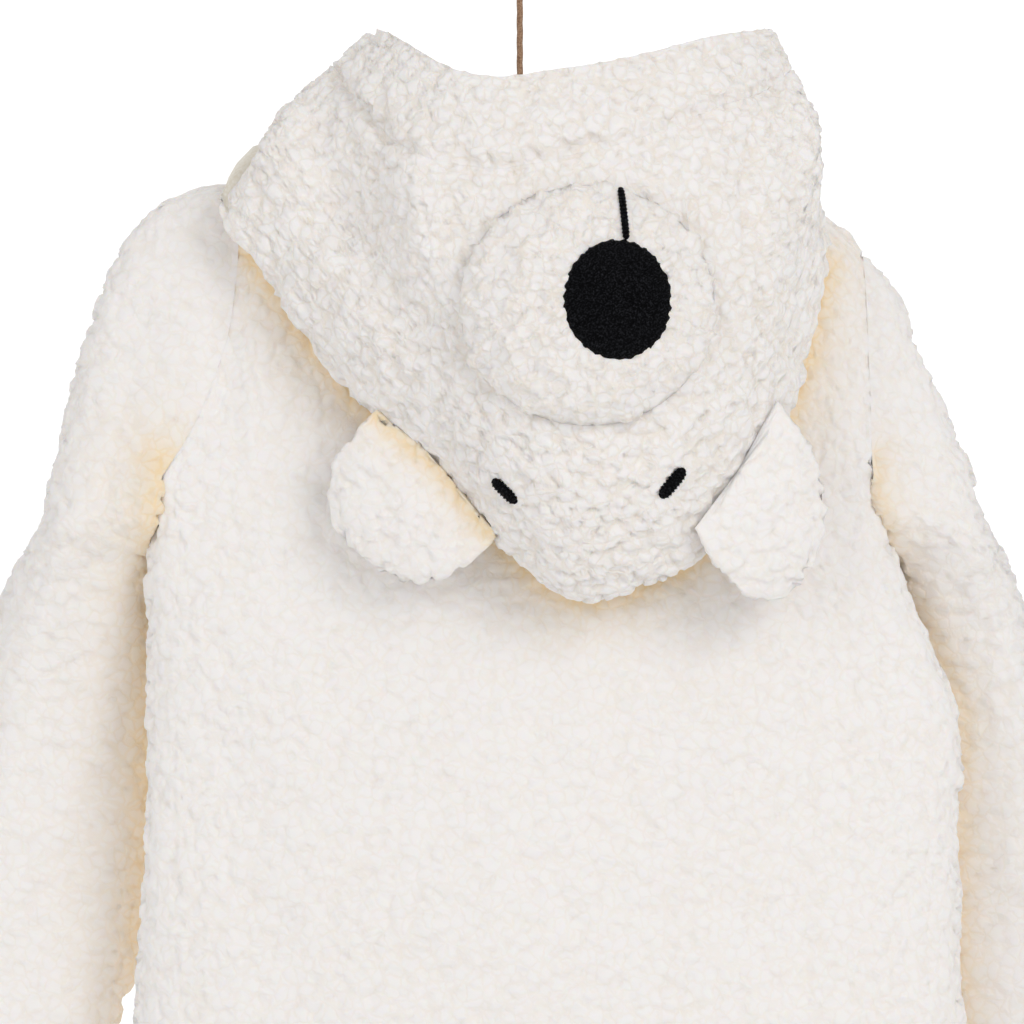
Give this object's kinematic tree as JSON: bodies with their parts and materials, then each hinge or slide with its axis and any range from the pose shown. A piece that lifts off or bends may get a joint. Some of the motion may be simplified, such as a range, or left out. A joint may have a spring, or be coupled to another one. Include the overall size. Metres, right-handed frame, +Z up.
{
  "type": "baby snowsuit on a hanger",
  "caption": "Baby snowsuit of cream sherpa fleece with a bear hood, button front and open legs, on a wooden hanger hung by twine.",
  "frame": {"origin": "inner top of the twine's loop, where the hanger's hook or nail would carry it", "axes": "+Z up, -Y to the garment's front, +X to the wearer's left, so the pictured back faces +Y"},
  "size_m": [0.522, 0.1802, 0.7724],
  "materials": {
    "fleece": "nodular sherpa pile, cream",
    "band": "plain woven band, cream",
    "stitching": "dense black satin stitch",
    "button": "turned and waxed",
    "wood": "sanded beech",
    "jute": "twisted jute twine"
  },
  "bodies": {
    "root": {"back": "fleece", "front_left": "fleece", "front_right": "fleece", "sleeve_left": "fleece", "sleeve_right": "fleece", "hood_right": "fleece", "hood_centre": "fleece", "hood_left": "fleece", "hood_rim": "fleece", "muzzle": "fleece", "ear_left": "fleece", "ear_right": "fleece", "nose": "stitching", "mouth": "stitching", "eye_left": "stitching", "eye_right": "stitching", "placket": "band", "button_1": "button", "button_2": "button", "button_3": "button", "button_4": "button", "button_5": "button", "hanger": "wood", "twine_loop": "jute", "knot_top": "jute", "knot_foot": "jute", "twine": "jute"}
  },
  "joints": []
}
